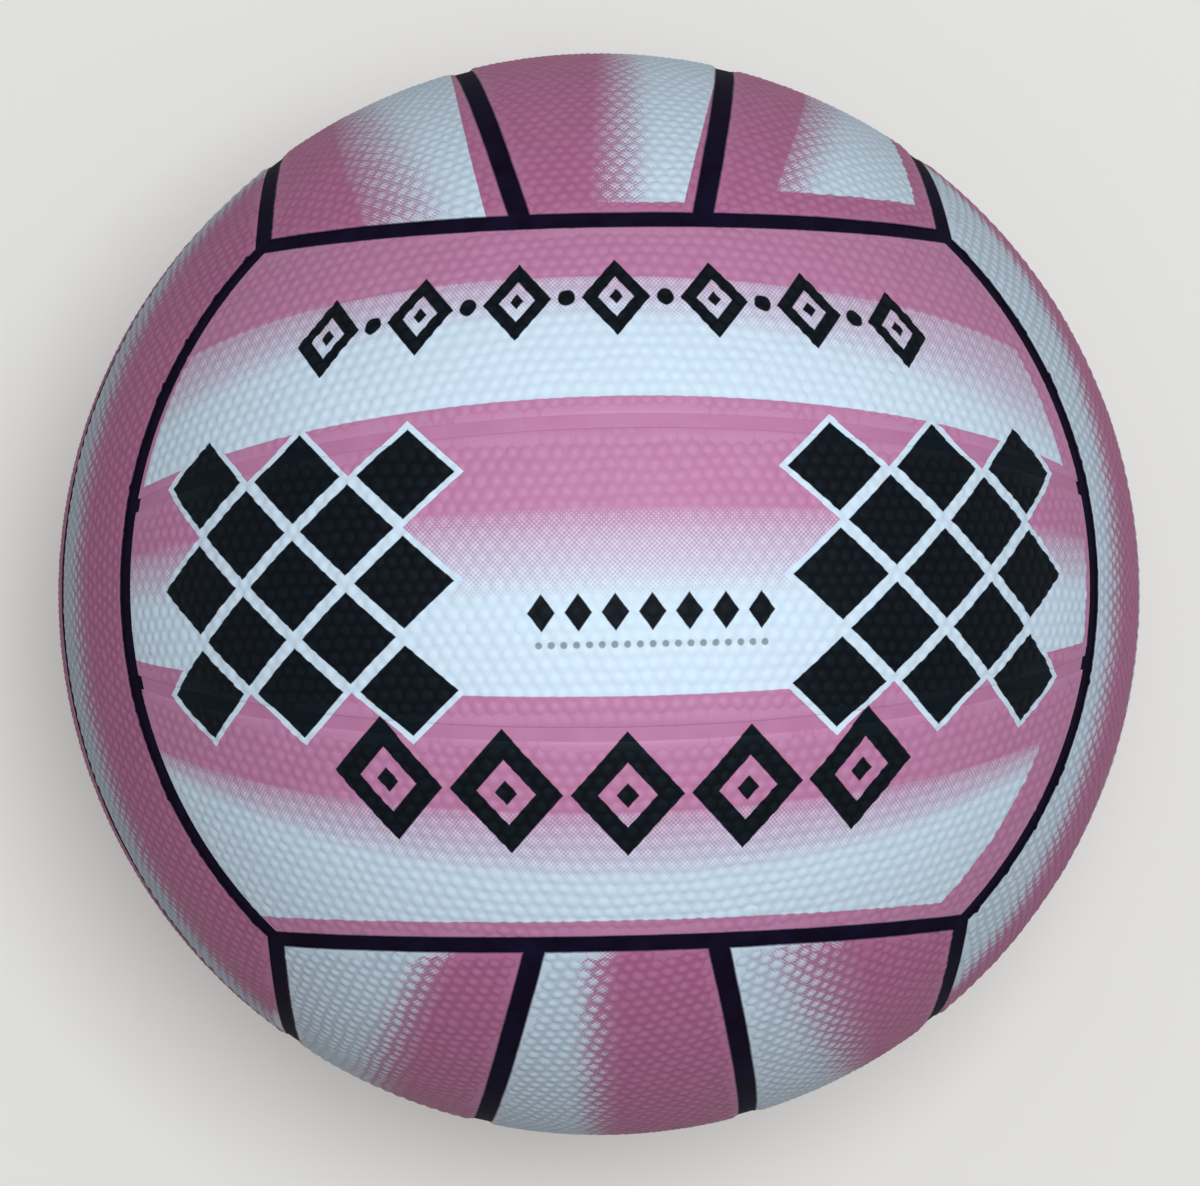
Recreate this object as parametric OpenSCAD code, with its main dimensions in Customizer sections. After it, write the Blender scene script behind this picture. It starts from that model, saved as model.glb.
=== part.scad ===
// Size 5 moulded rubber ball with eighteen cover panels, in millimetres.
// The ball's centre is the origin. +Z points up through the crown face, and the
// valve opens downwards through the base face. The six faces of three panels each
// are named crown, base, north (+Y), south (-Y), east (+X) and west (-X).

/* [Ball] */
// Outside diameter of the inflated ball
ball_d = 222.8; // [190:0.1:240]
// Angle from the middle of a face to each of its two inner seams, in degrees
strip_angle = 14.1; // [11:0.1:17]

/* [Cover] */
// Thickness of the moulded rubber panels
panel_t = 1.3; // [1:0.05:2]
// Width of the black seam channels, measured along the surface
seam_w = 3.8; // [2.5:0.1:6]
// Width of the plain channels inside the crown and base faces
plain_seam_w = 2.8; // [1.5:0.1:5]
// Depth of every channel below the panels
channel_depth = 0.55; // [0.2:0.05:0.8]

/* [Layers under the cover] */
// Thickness of the rubber carcass that the panels are cured onto
carcass_t = 0.4; // [0.3:0.05:1]
// Thickness of the wound nylon thread
winding_t = 0.35; // [0.2:0.05:1]
// Wall thickness of the butyl bladder
bladder_t = 0.55; // [0.4:0.05:1.2]

/* [Valve] */
// Diameter of the valve plug where it shows in the cover
plug_d = 6.4; // [5.5:0.1:8]
// Length of the valve plug, from the cover inwards
plug_len = 17; // [13:0.5:22]
// Diameter of the hole that takes an inflating needle
needle_d = 2.2; // [1.6:0.1:2.8]
// Diameter of the funnel that guides the needle in
funnel_d = 3.4; // [3:0.1:4.5]
// Depth of that funnel
funnel_depth = 0.9; // [0.5:0.1:1.5]
// How far the retaining bead stands out of the plug
bead_h = 0.7; // [0.4:0.1:1]
// Length of the retaining bead along the plug
bead_len = 2; // [1:0.1:3]
// Length of the valve boss, from under the cover inwards
boss_len = 13.4; // [10:0.2:18]
// Length of the boss behind the bead
boss_lip = 1.7; // [1:0.1:3]
// Wall of the valve boss round the plug
boss_wall = 2.6; // [1.8:0.1:4]
// Diameter of the flange that is cured to the inside of the bladder
flange_d = 34; // [26:1:44]
// Thickness of that flange
flange_t = 0.9; // [0.6:0.05:1.5]

/* [Hidden] */

$fn = 120;
bore_fn = 48;

// Radii of the ball's surfaces, from the outside in
outer_r = ball_d / 2;
channel_r = outer_r - channel_depth;
panel_in_r = outer_r - panel_t;
carcass_in_r = panel_in_r - carcass_t;
winding_in_r = carcass_in_r - winding_t;
bladder_in_r = winding_in_r - bladder_t;
flange_in_r = bladder_in_r - flange_t;

// The face seams are flat cuts at this distance from the centre, through the
// corners of the cube that fits inside the ball
face_cut = outer_r / sqrt(3);
// A flat cut meets the surface at a slant, so its slab is thinner than the channel
face_slab = seam_w * sqrt(2 / 3);
face_near = face_cut - face_slab / 2;
face_far = face_cut + face_slab / 2;
// Size of the blocks that cut the shells
reach = ball_d;

// Turns that bring the crown face to each of the other faces
right_angle = 90;
crown_turn = [0, 0, 0];
base_turn = [2 * right_angle, 0, 0];
north_turn = [0, -right_angle, -right_angle];
south_turn = [0, right_angle, -right_angle];
east_turn = [right_angle, 0, right_angle];
west_turn = [right_angle, 0, -right_angle];
// The two sides of a face, on either side of its middle panel
plus = 1;
minus = -1;

// Valve radii and places along the valve's axis, measured from the centre
plug_r = plug_d / 2;
needle_r = needle_d / 2;
boss_r = plug_r + boss_wall;
plug_end = outer_r - plug_len;
boss_end = panel_in_r - boss_len;
bead_end = boss_end + boss_lip;

pink = [0.80, 0.42, 0.58];
black = [0.06, 0.05, 0.09];
carcass_grey = [0.24, 0.24, 0.25];
thread_white = [0.90, 0.89, 0.85];
butyl = [0.13, 0.13, 0.14];
valve_grey = [0.20, 0.20, 0.22];

// Hollow ball between two radii
module shell(from_r, to_r) {
    difference() {
        sphere(r = to_r);
        sphere(r = from_r);
    }
}

// Everything beyond the plane through the X axis that leans by the strip angle
// towards a side, moved out by a gap
module beyond_seam(side, gap) {
    rotate([-side * strip_angle, 0, 0])
        translate([-reach, side > 0 ? gap : -gap - reach, -reach])
            cube([2 * reach, reach, 2 * reach]);
}

// Everything on the middle panel's side of that plane, moved in by a gap
module before_seam(side, gap) {
    rotate([-side * strip_angle, 0, 0])
        translate([-reach, side > 0 ? -gap - 2 * reach : gap, -reach])
            cube([2 * reach, 2 * reach, 2 * reach]);
}

// The crown face's own space, inside its four face seams
module face_space() {
    translate([-reach, -face_near, face_far])
        cube([2 * reach, 2 * face_near, reach]);
}

// Middle panel of a face, lying over the crown
module middle_panel(gap) {
    intersection() {
        shell(panel_in_r, outer_r);
        face_space();
        before_seam(plus, gap / 2);
        before_seam(minus, gap / 2);
    }
}

// Outer panel of a face, on one side of the middle panel
module side_panel(side, gap) {
    intersection() {
        shell(panel_in_r, outer_r);
        face_space();
        beyond_seam(side, gap / 2);
    }
}

// Floor of the channel between a middle and an outer panel
module inner_seam(side, gap) {
    intersection() {
        shell(panel_in_r, channel_r);
        face_space();
        rotate([-side * strip_angle, 0, 0])
            translate([-reach, -gap / 2, -reach])
                cube([2 * reach, gap, 2 * reach]);
    }
}

// Floor of the channels between the six faces, one net with eight corners
module face_seam_net() {
    color(black)
        difference() {
            shell(panel_in_r, channel_r);
            for (turn = [crown_turn, base_turn, north_turn, south_turn, east_turn, west_turn]) {
                rotate(turn) face_space();
            }
        }
}

module plain_middle_panel(turn) {
    color(pink) rotate(turn) middle_panel(plain_seam_w);
}

module plain_side_panel(turn, side) {
    color(pink) rotate(turn) side_panel(side, plain_seam_w);
}

module plain_inner_seam(turn, side) {
    color(pink) rotate(turn) inner_seam(side, plain_seam_w);
}

module edged_middle_panel(turn) {
    color(pink) rotate(turn) middle_panel(seam_w);
}

module edged_side_panel(turn, side) {
    color(pink) rotate(turn) side_panel(side, seam_w);
}

module black_inner_seam(turn, side) {
    color(black) rotate(turn) inner_seam(side, seam_w);
}

// Turns what is made along +Z to the valve, which opens downwards
module at_valve() {
    mirror([0, 0, 1]) children();
}

// Round space from the boss's inner end outwards, along the valve's axis
module valve_space(r) {
    at_valve()
        translate([0, 0, boss_end])
            cylinder(r = r, h = reach, $fn = bore_fn);
}

// Middle panel of the base face, with the hole that shows the valve plug
module base_panel_middle() {
    color(pink)
        difference() {
            rotate(base_turn) middle_panel(plain_seam_w);
            valve_space(plug_r);
        }
}

// Inner layer with the hole that the valve boss passes through
module pierced_layer(from_r, to_r) {
    difference() {
        shell(from_r, to_r);
        valve_space(boss_r);
    }
}

module carcass() {
    color(carcass_grey) pierced_layer(carcass_in_r, panel_in_r);
}

module nylon_winding() {
    color(thread_white) pierced_layer(winding_in_r, carcass_in_r);
}

module bladder() {
    color(butyl) pierced_layer(bladder_in_r, winding_in_r);
}

// Ring that the plug's bead fills in the boss
module bead() {
    translate([0, 0, bead_end])
        cylinder(r = plug_r + bead_h, h = bead_len, $fn = bore_fn);
}

// Rubber housing that holds the plug, cured to the bladder by its flange
module valve_boss() {
    color(valve_grey)
        difference() {
            union() {
                intersection() {
                    shell(flange_in_r, bladder_in_r);
                    at_valve() cylinder(d = flange_d, h = reach, $fn = bore_fn);
                }
                intersection() {
                    sphere(r = panel_in_r);
                    valve_space(boss_r);
                }
            }
            at_valve() cylinder(r = plug_r, h = reach, $fn = bore_fn);
            at_valve() bead();
        }
}

// Self-sealing rubber plug that the inflating needle goes through
module valve_plug() {
    color(black)
        at_valve()
            difference() {
                intersection() {
                    sphere(r = outer_r);
                    union() {
                        translate([0, 0, plug_end])
                            cylinder(r = plug_r, h = reach, $fn = bore_fn);
                        bead();
                    }
                }
                cylinder(r = needle_r, h = reach, $fn = bore_fn);
                translate([0, 0, outer_r - funnel_depth])
                    cylinder(r1 = needle_r, r2 = funnel_d / 2, h = funnel_depth, $fn = bore_fn);
            }
}

plain_side_panel(crown_turn, plus);  // crown_panel_north
plain_middle_panel(crown_turn);  // crown_panel_middle
plain_side_panel(crown_turn, minus);  // crown_panel_south
plain_side_panel(base_turn, minus);  // base_panel_north
base_panel_middle();
plain_side_panel(base_turn, plus);  // base_panel_south
edged_side_panel(north_turn, plus);  // north_panel_east
edged_middle_panel(north_turn);  // north_panel_middle
edged_side_panel(north_turn, minus);  // north_panel_west
edged_side_panel(south_turn, plus);  // south_panel_east
edged_middle_panel(south_turn);  // south_panel_middle
edged_side_panel(south_turn, minus);  // south_panel_west
edged_side_panel(east_turn, plus);  // east_panel_upper
edged_middle_panel(east_turn);  // east_panel_middle
edged_side_panel(east_turn, minus);  // east_panel_lower
edged_side_panel(west_turn, plus);  // west_panel_upper
edged_middle_panel(west_turn);  // west_panel_middle
edged_side_panel(west_turn, minus);  // west_panel_lower
face_seam_net();
plain_inner_seam(crown_turn, plus);  // crown_seam_north
plain_inner_seam(crown_turn, minus);  // crown_seam_south
plain_inner_seam(base_turn, minus);  // base_seam_north
plain_inner_seam(base_turn, plus);  // base_seam_south
black_inner_seam(north_turn, plus);  // north_seam_east
black_inner_seam(north_turn, minus);  // north_seam_west
black_inner_seam(south_turn, plus);  // south_seam_east
black_inner_seam(south_turn, minus);  // south_seam_west
black_inner_seam(east_turn, plus);  // east_seam_upper
black_inner_seam(east_turn, minus);  // east_seam_lower
black_inner_seam(west_turn, plus);  // west_seam_upper
black_inner_seam(west_turn, minus);  // west_seam_lower
carcass();
nylon_winding();
bladder();
valve_boss();
valve_plug();
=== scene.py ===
"""Size 5 moulded rubber netball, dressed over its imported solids.

The cover's eighteen panels are modelled here with their pebbles, rounded shoulders and
closed backs, and they stand for the plain panels of the frame. The channel floors, the
layers under the cover and the valve stay as the frame has them and get their materials.

A face of the ball has three strips. Its own axes are X along the strips, Y across them
and Z out of the face. A place on a strip is given by its tilt, the angle round the face's
X axis, and by its distances along and across the face, measured on the surface.
"""

import logging
import math
from dataclasses import dataclass, field
from enum import Enum

import bmesh
import bpy
import numpy as np
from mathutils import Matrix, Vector
from mathutils.geometry import delaunay_2d_cdt


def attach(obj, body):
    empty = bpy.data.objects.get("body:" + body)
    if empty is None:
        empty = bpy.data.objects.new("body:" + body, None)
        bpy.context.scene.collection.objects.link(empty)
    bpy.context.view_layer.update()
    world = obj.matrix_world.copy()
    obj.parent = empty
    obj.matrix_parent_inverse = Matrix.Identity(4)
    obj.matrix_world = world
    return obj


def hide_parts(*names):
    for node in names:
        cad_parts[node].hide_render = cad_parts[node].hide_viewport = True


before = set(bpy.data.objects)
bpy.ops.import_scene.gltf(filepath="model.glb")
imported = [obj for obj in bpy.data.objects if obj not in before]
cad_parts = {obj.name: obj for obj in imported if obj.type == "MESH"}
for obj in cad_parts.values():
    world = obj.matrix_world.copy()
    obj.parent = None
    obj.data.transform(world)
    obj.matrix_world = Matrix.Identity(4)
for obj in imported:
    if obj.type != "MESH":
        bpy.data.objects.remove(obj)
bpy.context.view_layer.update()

LOG = logging.getLogger("netball")
MM = 0.001

# How strongly the cover's bare rubber mirrors light
COVER_SHINE = 0.35
# Sizes of the spots on a smooth rubber's relief, and of the patches in a smooth channel's colour
SMOOTH_GRAIN = 0.5 * MM
CHANNEL_GRAIN = 7 * MM

# What each point of a panel keeps: its place, its gaps to the seams, and its height on its pebble
PLACE = "panel_place"
GAPS = "panel_gaps"
PEBBLE = "pebble_top"

Colour = tuple[float, float, float]
Place = tuple[float, float, float]
Paint = Colour | bpy.types.NodeSocket


class Face(Enum):
    """The six faces, each with where its own X, Y and Z axes point."""

    CROWN = ((1, 0, 0), (0, 1, 0), (0, 0, 1))
    BASE = ((1, 0, 0), (0, -1, 0), (0, 0, -1))
    NORTH = ((0, 0, 1), (1, 0, 0), (0, 1, 0))
    SOUTH = ((0, 0, -1), (1, 0, 0), (0, -1, 0))
    EAST = ((0, 1, 0), (0, 0, 1), (1, 0, 0))
    WEST = ((0, -1, 0), (0, 0, 1), (-1, 0, 0))

    @property
    def turn(self) -> np.ndarray:
        """The turn from the face's own axes to the ball's."""
        return np.array(self.value, float).T


class Strip(Enum):
    """The three strips of a face, by the side of its Y axis that they lie on."""

    PLUS = 1
    MIDDLE = 0
    MINUS = -1


class Rows(Enum):
    """How far the rows of pebbles turn from a strip's length, in degrees."""

    ALONG = 0.0
    SLANTING = -20.0
    ACROSS = 90.0


@dataclass(frozen=True)
class CoverSizes:
    """Sizes of the moulded cover, in metres, and angles in degrees.

    Args:
        outer_r: Radius to the tops of the pebbles.
        floor_r: Radius of the channels' floor.
        inner_r: Radius of the panels' inner side.
        strip_angle: Tilt of the seams beside a face's middle strip.
        seam_w: Width of the painted channels.
        plain_seam_w: Width of the crown's and the base's smooth channels.
        shoulder: Width of a panel's rounded edge.
        soft_shoulder: The same beside a smooth channel.
        lip: How far that edge reaches over a channel's floor.
        wide_lip: The same at the outer edges of the crown and the base.
        lip_lift: Height of the lip's underside over that floor.
    """

    outer_r: float
    floor_r: float
    inner_r: float
    strip_angle: float = 14.1
    seam_w: float = 3.8 * MM
    plain_seam_w: float = 2.8 * MM
    shoulder: float = 0.5 * MM
    soft_shoulder: float = 1.0 * MM
    lip: float = 0.20 * MM
    wide_lip: float = 0.60 * MM
    lip_lift: float = 0.02 * MM

    @property
    def face_cut(self) -> float:
        """Distance from the centre to the flat cuts between the faces."""
        return self.outer_r / math.sqrt(3)

    @property
    def face_slant(self) -> float:
        """Distance square to a face cut for one step along the surface there."""
        return math.sqrt(2 / 3)


@dataclass(frozen=True)
class PebbleSizes:
    """Sizes of the pebble grain, in metres.

    Args:
        pitch: Distance from one pebble to the next.
        height: Height of a pebble.
        foot_r: Radius of its foot.
        shoulder_r: Radius where its side turns into its top.
        shoulder_share: Height of that turn, as a share of the pebble's.
        wander: How far the rows wander from straight ones.
        wander_lengths: Lengths of the waves in which they wander.
        shake: How far a pebble lies off its row.
        uneven_share: By how much of their size the pebbles differ.
    """

    pitch: float = 2.70 * MM
    height: float = 0.28 * MM
    foot_r: float = 1.37 * MM
    shoulder_r: float = 0.86 * MM
    shoulder_share: float = 0.66
    wander: float = 0.26 * MM
    wander_lengths: tuple[float, ...] = (9 * MM, 14 * MM, 23 * MM, 40 * MM)
    shake: float = 0.10 * MM
    uneven_share: float = 0.16

    @property
    def cell_r(self) -> float:
        """Distance from the middle of a six-sided cell to its corners."""
        return self.pitch / math.sqrt(3)

    @property
    def row_gap(self) -> float:
        """Distance from one row of pebbles to the next."""
        return self.pitch * math.sqrt(3) / 2


@dataclass(frozen=True)
class Wall:
    """A flat side of a panel: the panel lies where normal . point is under its place.

    Args:
        normal: Direction square to the wall, out of the panel.
        place: Distance from the ball's middle to the wall.
        slant: Distance square to the wall for one step along the surface.
        bare: Smooth margin beside the wall.
        shoulder: Width of the panel's rounded edge.
        lip: How far that edge reaches over the channel's floor.
    """

    normal: tuple[float, float, float]
    place: float
    slant: float
    bare: float
    shoulder: float
    lip: float

    @property
    def axis(self) -> np.ndarray:
        """The normal as an array."""
        return np.array(self.normal, float)

    def edge(self, share: float | None) -> float:
        """Finds the place of the panel's edge.

        Args:
            share: Share of the edge's rounding that is passed, or None for the wall itself.

        Returns:
            The place along the normal.
        """
        if share is None:
            return self.place
        return self.place + (self.lip - self.shoulder * (1 - share)) * self.slant


def deselect() -> None:
    """Leaves edit mode and deselects every object."""
    if bpy.context.mode != "OBJECT":
        bpy.ops.object.mode_set(mode="OBJECT")
    bpy.ops.object.select_all(action="DESELECT")


def choose(piece: bpy.types.Object) -> None:
    """Makes a piece the only selected object and the active one.

    Args:
        piece: The piece.
    """
    deselect()
    piece.select_set(True)
    bpy.context.view_layer.objects.active = piece


def points_of(mesh: bpy.types.Mesh) -> np.ndarray:
    """Reads a mesh's points.

    Args:
        mesh: The mesh.

    Returns:
        One row of three coordinates for each point.
    """
    found = np.empty(len(mesh.vertices) * 3)
    mesh.vertices.foreach_get("co", found)
    return found.reshape(-1, 3)


def set_points(mesh: bpy.types.Mesh, points: np.ndarray) -> None:
    """Writes a mesh's points."""
    mesh.vertices.foreach_set("co", points.ravel())
    mesh.update()


def store(piece: bpy.types.Object, name: str, numbers: np.ndarray) -> None:
    """Stores numbers on a piece's points under a name.

    Args:
        piece: The piece.
        name: The attribute's name.
        numbers: One number or three for each point.
    """
    several = numbers.ndim > 1
    kind = "FLOAT_VECTOR" if several else "FLOAT"
    layer = piece.data.attributes.new(name, kind, "POINT")
    layer.data.foreach_set("vector" if several else "value", numbers.astype(np.float32).ravel())


def on_walls(point: np.ndarray, walls: list[Wall], places: list[float], radius: float) -> np.ndarray:
    """Moves one point onto one or two planes and a sphere round the centre.

    Args:
        point: The point.
        walls: The walls that the point follows, one or two.
        places: Where along each wall's normal the point should lie.
        radius: The sphere's radius.

    Returns:
        The moved point.
    """
    first = walls[0].axis
    if len(walls) == 1:
        rest = point - first * (first @ point)
        rest /= np.linalg.norm(rest)
        return first * places[0] + rest * math.sqrt(radius**2 - places[0] ** 2)
    second = walls[1].axis
    mixed = first @ second
    shares = np.linalg.solve([[1, mixed], [mixed, 1]], places)
    flat = first * shares[0] + second * shares[1]
    along = np.cross(first, second)
    along /= np.linalg.norm(along)
    along *= math.copysign(1, along @ point)
    return flat + along * math.sqrt(radius**2 - flat @ flat)


@dataclass
class PebbledPanel:
    """One moulded panel, made in its face's own axes.

    Args:
        cover: Sizes of the cover.
        pebbles: Sizes of the grain.
        strip: The middle strip or the one on the plus side.
        seam_w: Width of the channel beside the middle strip.
        bare: Smooth margin beside that channel.
        inner_shoulder: Width of the rounded edge there.
        outer_lip: How far the face's outer edges reach over their channels' floor.
        rows: Which way the rows of pebbles run.
        seed: Start of the random numbers.
        smooth_spot: Radius round the face's middle that has no pebbles.
        edge_bare: Smooth margin beside the face's outer edges.
        bare_fade: Width over which the pebbles grow beside a margin.
        shoulder_steps: Turns at which the rounded edge has points, in degrees.
        back_step: Distance between the points of the inner side.
        snap: Width beside a cut in which points move onto it.
        spare: How far the sheet reaches past the panel before it is cut.
        weld: Distance up to which points are joined.
        slack: How exact a cut is.
        meets: Distance up to which a rim point counts as lying on a wall.
    """

    cover: CoverSizes
    pebbles: PebbleSizes
    strip: Strip
    seam_w: float
    bare: float
    inner_shoulder: float
    outer_lip: float
    rows: Rows
    seed: int
    smooth_spot: float = 0.0
    edge_bare: float = 0.45 * MM
    bare_fade: float = 0.7 * MM
    shoulder_steps: tuple[float, ...] = (22.0, 45.0, 68.0, 90.0)
    back_step: float = 5.0 * MM
    snap: float = 0.22 * MM
    spare: float = 3.0 * MM
    weld: float = 0.01 * MM
    slack: float = 0.001 * MM
    meets: float = 0.02 * MM

    @property
    def walls(self) -> list[Wall]:
        """The panel's flat sides.

        Returns:
            The end wall, which stands for both ends, and the walls along the strip.
        """
        cover = self.cover
        across = math.cos(math.radians(cover.strip_angle))
        lean = math.sin(math.radians(cover.strip_angle))
        half_slab = cover.seam_w * cover.face_slant / 2
        outer = (cover.face_slant, self.edge_bare, cover.shoulder, self.outer_lip)
        inner = (1.0, self.bare, self.inner_shoulder, cover.lip)
        end = Wall((0, 0, -1), -(cover.face_cut + half_slab), *outer)
        if self.strip is Strip.MIDDLE:
            upper = Wall((0, across, -lean), -self.seam_w / 2, *inner)
            lower = Wall((0, -across, -lean), -self.seam_w / 2, *inner)
            return [end, upper, lower]
        side = Wall((0, 1, 0), cover.face_cut - half_slab, *outer)
        return [end, side, Wall((0, -across, lean), -self.seam_w / 2, *inner)]

    @property
    def lean(self) -> float:
        """Tilt of the strip's own middle line.

        Returns:
            The tilt, in radians.
        """
        if self.strip is Strip.MIDDLE:
            return 0.0
        outer = math.degrees(math.asin(1 / math.sqrt(3)))
        return math.radians((self.cover.strip_angle + outer) / 2)

    @property
    def base_r(self) -> float:
        """Radius of the cover between its pebbles."""
        return self.cover.outer_r - self.pebbles.height

    def span(self) -> tuple[float, float, float]:
        """Finds the flat sheet that covers the strip.

        Returns:
            Half its length, and its lowest and highest place across.
        """
        outer_r = self.cover.outer_r
        half_length = outer_r * math.acos(1 / math.sqrt(3)) + self.spare
        inner = outer_r * math.radians(self.cover.strip_angle) + self.spare
        if self.strip is Strip.MIDDLE:
            return half_length, -inner, inner
        corner = math.asin((math.cos(self.lean) - math.sin(self.lean)) / math.sqrt(3))
        low = outer_r * (self.lean - math.radians(self.cover.strip_angle)) + self.spare
        return half_length, -low, outer_r * corner + self.spare

    def tile(self) -> bpy.types.Object:
        """Models two neighbouring pebbles on their six-sided cells.

        Returns:
            The object that the sheet's arrays repeat.
        """
        grain = self.pebbles
        sides = 6
        deselect()
        bpy.ops.mesh.primitive_circle_add(vertices=sides, radius=grain.cell_r, fill_type="NGON")
        piece = bpy.context.object
        side_share = math.cos(math.pi / sides)
        rise = grain.height * grain.shoulder_share
        bpy.ops.object.mode_set(mode="EDIT")
        bpy.ops.mesh.select_all(action="SELECT")
        bpy.ops.mesh.inset(thickness=(grain.cell_r - grain.foot_r) * side_share, depth=0)
        bpy.ops.mesh.inset(thickness=(grain.foot_r - grain.shoulder_r) * side_share, depth=rise)
        bpy.ops.mesh.poke(offset=grain.height - rise)
        bpy.ops.mesh.select_all(action="SELECT")
        step = (grain.pitch / 2, grain.row_gap, 0)
        bpy.ops.mesh.duplicate_move(TRANSFORM_OT_translate={"value": step})
        bpy.ops.object.mode_set(mode="OBJECT")
        return piece

    def sheet(self) -> tuple[bpy.types.Object, int]:
        """Repeats the two pebbles over the strip.

        Returns:
            The flat sheet, and how many points each pebble's cell has.
        """
        grain = self.pebbles
        piece = self.tile()
        cell_points = len(piece.data.vertices) // 2
        half_length, low, high = self.span()
        turn = math.radians(self.rows.value)
        turn_cos, turn_sin = math.cos(turn), math.sin(turn)
        long = 2 * half_length * abs(turn_cos) + (high - low) * abs(turn_sin)
        wide = 2 * half_length * abs(turn_sin) + (high - low) * abs(turn_cos)
        counts = (math.ceil(long / grain.pitch) + 1, math.ceil(wide / grain.row_gap / 2) + 1)
        offsets = ((grain.pitch, 0, 0), (0, 2 * grain.row_gap, 0))
        for count, offset in zip(counts, offsets):
            bpy.ops.object.modifier_add(type="ARRAY")
            array = piece.modifiers[-1]
            array.count = count
            array.use_relative_offset = False
            array.use_constant_offset = True
            array.constant_offset_displace = offset
            bpy.ops.object.modifier_apply(modifier=array.name)
        points = points_of(piece.data)
        flat = points[:, :2] - (points[:, :2].min(0) + points[:, :2].max(0)) / 2
        points[:, :2] = flat @ np.array([[turn_cos, turn_sin], [-turn_sin, turn_cos]])
        points[:, 1] += (low + high) / 2
        set_points(piece.data, points)
        return piece, cell_points

    def wandered(self, flat: np.ndarray) -> np.ndarray:
        """Lets the rows wander a little, alike for points that lie together.

        Args:
            flat: Places along and across the strip.

        Returns:
            How far each place moves.
        """
        random = np.random.default_rng(self.seed)
        moved = np.zeros_like(flat)
        for length in self.pebbles.wander_lengths:
            for axis in (0, 1):
                angle, start = random.uniform(0, 2 * math.pi, 2)
                way = np.array([math.cos(angle), math.sin(angle)]) * 2 * math.pi / length
                moved[:, axis] += np.sin(flat @ way + start)
        return moved * self.pebbles.wander / 2

    def bend(self, piece: bpy.types.Object, cell_points: int) -> None:
        """Bends the sheet onto the ball and gives each pebble its own height and place.

        Args:
            piece: The flat sheet.
            cell_points: How many points each pebble's cell has.
        """
        grain = self.pebbles
        random = np.random.default_rng(self.seed)
        cells = points_of(piece.data).reshape(-1, cell_points, 3)
        middle = cells[:, :, :2].mean(1, keepdims=True)
        reach = np.linalg.norm(cells[:, :, :2] - middle, axis=2, keepdims=True)
        dome = reach < (grain.foot_r + grain.cell_r) / 2
        count = len(cells)
        shift = random.uniform(-grain.shake, grain.shake, (count, 1, 2))
        swell = 1 + random.uniform(-grain.uneven_share, grain.uneven_share / 2, (count, 1, 1))
        spread = middle + (cells[:, :, :2] - middle) * swell + shift
        cells[:, :, :2] = np.where(dome, spread, cells[:, :, :2])
        tops = self.on_ball(middle[:, 0], np.zeros(count))
        height = self.lowered(1 - random.uniform(0, grain.uneven_share, count), tops)
        top = 1 - height[:, None] * (1 - cells[:, :, 2] / grain.height)
        cells[:, :, 2] *= height[:, None]
        flat = cells.reshape(-1, 3)
        flat[:, :2] += self.wandered(flat[:, :2])
        points = self.on_ball(flat[:, :2], flat[:, 2])
        for wall in self.walls:
            depth = points @ wall.axis - wall.edge(0.0)
            near = np.abs(depth) < self.snap * wall.slant
            points[near] -= depth[near, None] * wall.axis
        set_points(piece.data, points)
        store(piece, PEBBLE, top.ravel())

    def lowered(self, height: np.ndarray, tops: np.ndarray) -> np.ndarray:
        """Lowers the pebbles beside the panel's smooth margins and round its smooth spot.

        Args:
            height: Each pebble's height, as a share of the full one.
            tops: Each pebble's middle on the ball.

        Returns:
            The lowered heights.
        """
        for wall in self.walls:
            gap = (wall.edge(0.0) - tops @ wall.axis) / wall.slant
            height = height * np.clip((gap - wall.bare) / self.bare_fade, 0, 1)
        if self.smooth_spot:
            gap = np.hypot(tops[:, 0], tops[:, 1]) - self.smooth_spot
            height = height * np.clip(gap / self.bare_fade, 0, 1)
        return height

    def on_ball(self, flat: np.ndarray, height: np.ndarray) -> np.ndarray:
        """Lays flat places on the ball, in the face's own axes.

        Args:
            flat: Places along and across the strip.
            height: Heights above the cover between the pebbles.

        Returns:
            The points.
        """
        along, across = (flat / self.cover.outer_r).T
        radius = self.base_r + height
        x = radius * np.cos(across) * np.sin(along)
        y = radius * np.sin(across)
        z = radius * np.cos(across) * np.cos(along)
        lean_cos, lean_sin = math.cos(self.lean), math.sin(self.lean)
        return np.stack([x, y * lean_cos + z * lean_sin, z * lean_cos - y * lean_sin], 1)

    def trim(self, piece: bpy.types.Object) -> None:
        """Joins the cells and cuts the sheet where the panel's edges start to turn down.

        Args:
            piece: The bent sheet.
        """
        choose(piece)
        bpy.ops.object.mode_set(mode="EDIT")
        bpy.ops.mesh.select_all(action="SELECT")
        bpy.ops.mesh.remove_doubles(threshold=self.weld)
        for wall in self.walls:
            bpy.ops.mesh.select_all(action="SELECT")
            bpy.ops.mesh.bisect(
                plane_co=wall.axis * wall.edge(0.0),
                plane_no=wall.normal,
                clear_outer=True,
                threshold=self.slack,
            )
        bpy.ops.mesh.select_all(action="SELECT")
        bpy.ops.mesh.remove_doubles(threshold=self.weld)
        bpy.ops.object.mode_set(mode="OBJECT")

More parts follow.
